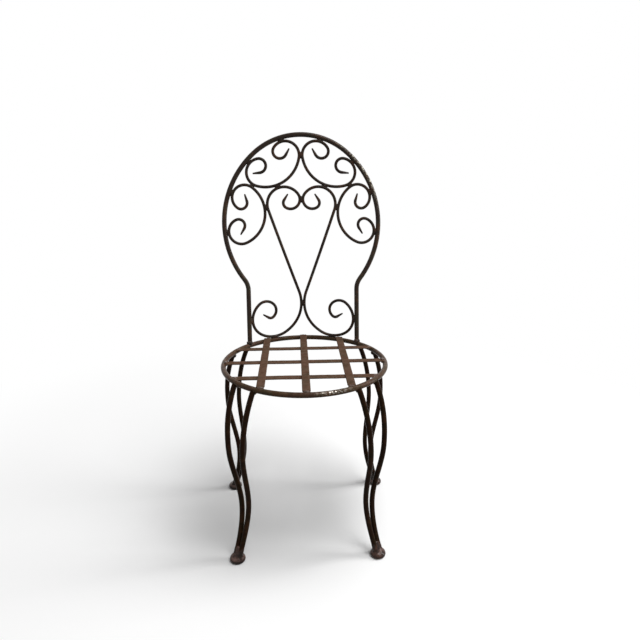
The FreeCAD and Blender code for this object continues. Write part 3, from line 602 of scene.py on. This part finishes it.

# Feet: a blob of iron like a flattened bell under each leg, run round the two bars while hot.
# Its dome is paler than the leg, partly from wear and partly as a painted highlight, and its
# lower rim keeps the dark paint.
foot_paint = painted(
    "foot_paint",
    relief=0.0007,
    specular=0.15,
    paint=(0.017, 0.009, 0.006, 1),
    patch=(0.021, 0.012, 0.009, 1),
    worn=(0.17, 0.10, 0.085, 1),
    # on the dome this worn colour is partly a painted highlight
    worn_amount=0.75,
    edge_wear=0.25,
    gloss_roughness=0.17,
)
foot_segments = 64
foot_levels = 44
foot_lump, foot_lumps_to_metre = 0.00028, 130
foot_pit, foot_pits_to_metre = 0.000112, 330
foot_lump_rise = 0.4
# height and reach of a pale band round the dome, partly wear and partly a painted highlight
foot_wear_and_highlight_height, foot_wear_and_highlight_reach = 0.0115, 0.004
foot_turns_to_bars_at, foot_turns_over = 0.006, 0.012
bars_low, bars_high = 0.017, 0.040
foot_shape = (
    # in mm: height, radius of the bell, share of the collar (0 to 1), how far the collar is proud
    (0.0, 13.6, 0, 0.9),
    (0.6, 15.6, 0, 0.9),
    (2.4, 17.9, 0, 0.9),
    (5.0, 18.7, 0, 0.9),
    (7.5, 18.75, 0, 0.9),
    (10.0, 18.3, 0.05, 0.9),
    (12.5, 16.9, 0.15, 0.9),
    (14.6, 15.0, 0.35, 0.9),
    (16.6, 13.6, 0.6, 0.9),
    (19.5, 12.8, 0.85, 0.9),
    (24.0, 12.6, 1, 0.9),
    (30.0, 12.6, 1, 0.5),
    (34.0, 12.6, 1, 0.1),
    (36.0, 12.6, 1, -0.6),
)


def bar_crossing(name, height):
    """Middle of a bar where it passes a height above the floor."""
    mesh = nodes[name].data
    spots = np.empty(len(mesh.vertices) * 3)
    mesh.vertices.foreach_get("co", spots)
    spots = spots.reshape(-1, 3)
    pairs = np.empty(len(mesh.edges) * 2, dtype=int)
    mesh.edges.foreach_get("vertices", pairs)
    starts, stops = spots[pairs[0::2]], spots[pairs[1::2]]
    crosses = (starts[:, 2] - height) * (stops[:, 2] - height) < 0
    starts, stops = starts[crosses], stops[crosses]
    shares = (height - starts[:, 2]) / (stops[:, 2] - starts[:, 2])
    cut = starts + (stops - starts) * shares[:, None]
    low, high = cut.min(axis=0), cut.max(axis=0)
    return Vector(((low[0] + high[0]) / 2, (low[1] + high[1]) / 2))


def foot(name, inner, outer, seed):
    """A bell-shaped casting that rises into a collar round two bars."""
    low, high = (Vector(corner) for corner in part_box(name))
    base = Vector(((low.x + high.x) / 2, (low.y + high.y) / 2))
    keys = np.array(foot_shape)
    levels, key_levels = np.linspace(0, 1, foot_levels), np.linspace(0, 1, len(keys))
    heights = np.interp(levels, key_levels, keys[:, 0])
    pair_low = [bar_crossing(bar, bars_low) for bar in (inner, outer)]
    pair_high = [bar_crossing(bar, bars_high) for bar in (inner, outer)]
    points, edge = [], []
    for height in heights:
        radius, collar, proud = (
            np.interp(height, keys[:, 0], keys[:, column]) for column in (1, 2, 3)
        )
        height, radius, proud = height / 1000, radius / 1000, proud / 1000
        rise = (height - bars_low) / (bars_high - bars_low)
        pair = [first.lerp(last, rise) for first, last in zip(pair_low, pair_high)]
        gap = pair[1] - pair[0]
        half_gap = gap.length / 2
        turn = math.atan2(gap.y, gap.x)
        follow = min(1, max(0, (height - foot_turns_to_bars_at) / foot_turns_over))
        middle = base.lerp((pair[0] + pair[1]) / 2, follow)
        for step in range(foot_segments):
            angle = 2 * math.pi * step / foot_segments
            side = abs(math.sin(angle - turn))
            ahead = abs(math.cos(angle - turn))
            if side > 1e-6 and bar_radius * ahead / side <= half_gap:
                wrap = bar_radius / side
            else:
                wrap = half_gap * ahead + math.sqrt(bar_radius ** 2 - (half_gap * side) ** 2)
            out = radius * (1 - collar) + (wrap + proud) * collar
            outward = Vector((math.cos(angle), math.sin(angle), 0))
            spot = Vector((middle.x, middle.y, height)) + outward * out
            lump = wander(foot_lump, spot * foot_lumps_to_metre + Vector((seed, 0, 0)))
            lump += wander(foot_pit, spot * foot_pits_to_metre)
            if height > 0:
                spot += Vector((outward.x, outward.y, foot_lump_rise)) * lump
            points.append(spot)
            # the pale band on the dome, partly wear and partly a painted highlight
            edge.append(max(0.0, 1 - abs(height - foot_wear_and_highlight_height) / foot_wear_and_highlight_reach))
    faces = skin(foot_levels, foot_segments)
    mesh = worn_mesh(f"{name}_casting", points, faces, edge)
    stand_in(f"{name}_casting", mesh, foot_paint, name)


for end_number, end in enumerate(("front", "rear")):
    for side_number, side in enumerate(("left", "right")):
        leg, seed = f"{end}_{side}_leg", 3 * end_number + side_number
        foot(f"{end}_{side}_foot", f"{leg}_inner_bar", f"{leg}_outer_bar", seed)

# Welds: short runs of arc weld, left as laid and painted over. They join the scrolls to each
# other and to the hoop, the posts and legs to the ring, and the straps' ends to the ring.
weld_paint = painted(
    "weld_paint",
    relief=0.0005,
    specular=0.08,
    paint=(0.030, 0.020, 0.015, 1),
    patch=(0.040, 0.028, 0.022, 1),
    worn=(0.12, 0.095, 0.08, 1),
    worn_amount=0.5,
    gloss_roughness=0.28,
)
seat_weld_paint = painted(
    "seat_weld_paint",
    relief=0.0005,
    specular=0.12,
    paint=(0.07, 0.045, 0.033, 1),
    patch=(0.085, 0.058, 0.044, 1),
    worn=(0.2, 0.15, 0.13, 1),
    worn_amount=0.7,
    gloss_roughness=0.24,
)
big_bead = 0.0055
bead_same_point = 0.00002
bead_looks_for_bars = 0.007
bead_stretch = Vector((1.75, 0.85, 0.9))
# ripples, lumps and pits as shares of a bead's size, and how closely they lie
bead_ripple, bead_ripple_length = 0.05, 0.0021
bead_lump, lumps_to_bead = 0.13, 1.7
bead_pit, pits_to_bead = 0.05, 5

bars = [nodes[name].data for name in nodes if not name.endswith(("_welds", "_foot"))]
bar_points = KDTree(sum(len(bar.vertices) for bar in bars))
for bar in bars:
    for vertex in bar.vertices:
        bar_points.insert(vertex.co, 0)
bar_points.balance()


def beads_of(name):
    """Middle and half size of each weld bead in a group."""
    shape = bmesh.new()
    shape.from_mesh(nodes[name].data)
    bmesh.ops.remove_doubles(shape, verts=shape.verts, dist=bead_same_point)
    shape.verts.ensure_lookup_table()
    unseen = set(range(len(shape.verts)))
    found = []
    while unseen:
        waiting = [unseen.pop()]
        bead = list(waiting)
        while waiting:
            vertex = shape.verts[waiting.pop()]
            for link in vertex.link_edges:
                other = link.other_vert(vertex).index
                if other in unseen:
                    unseen.remove(other)
                    bead.append(other)
                    waiting.append(other)
        spots = np.array([shape.verts[index].co for index in bead])
        low, high = spots.min(axis=0), spots.max(axis=0)
        found.append((Vector((low + high) / 2), Vector((high - low) / 2)))
    shape.free()
    return sorted(found, key=lambda bead: tuple(round(c, 5) for c in bead[0]))


def weld_run(name, material, fullness):
    """All the beads of a group as lumpy runs of weld metal."""
    shape = bmesh.new()
    for number, (middle, half) in enumerate(beads_of(name)):
        _, size, _ = sorted(half)
        if size > big_bead:
            # a collar round a post or the top of a leg
            reach, turn, fineness = half * fullness, Quaternion(), 4
        else:
            # a short run, which lies along the bars that it joins
            around = bar_points.find_range(middle, size + bead_looks_for_bars)
            near = np.array([spot for spot, _, _ in around])
            heading = Vector(np.linalg.svd(near - near.mean(axis=0))[2][0])
            reach, turn, fineness = bead_stretch * size, heading.to_track_quat("X", "Z"), 3
        made = bmesh.ops.create_icosphere(shape, subdivisions=fineness, radius=1.0)
        for vertex in made["verts"]:
            direction = vertex.co.normalized()
            spot = Vector(reach[axis] * direction[axis] for axis in range(3))
            ripple = bead_ripple * math.sin(spot.x / bead_ripple_length * 2 * math.pi + number)
            lump = wander(bead_lump, direction * lumps_to_bead + Vector((number * 5.1, 0, 0)))
            pit = wander(bead_pit, direction * pits_to_bead + Vector((0, number * 3.3, 0)))
            swell = 1 + lump + ripple + pit
            vertex.co = middle + turn @ (spot * swell)
    mesh = bpy.data.meshes.new(f"{name}_runs")
    shape.to_mesh(mesh)
    shape.free()
    stand_in(f"{name}_runs", mesh, material, name)


for kind, weld_material, fullness in (
    ("scroll", weld_paint, 0.9),
    ("post", weld_paint, 0.9),
    ("seat", seat_weld_paint, 0.9),
    ("leg", weld_paint, 0.7),
):
    weld_run(f"{kind}_welds", weld_material, fullness)
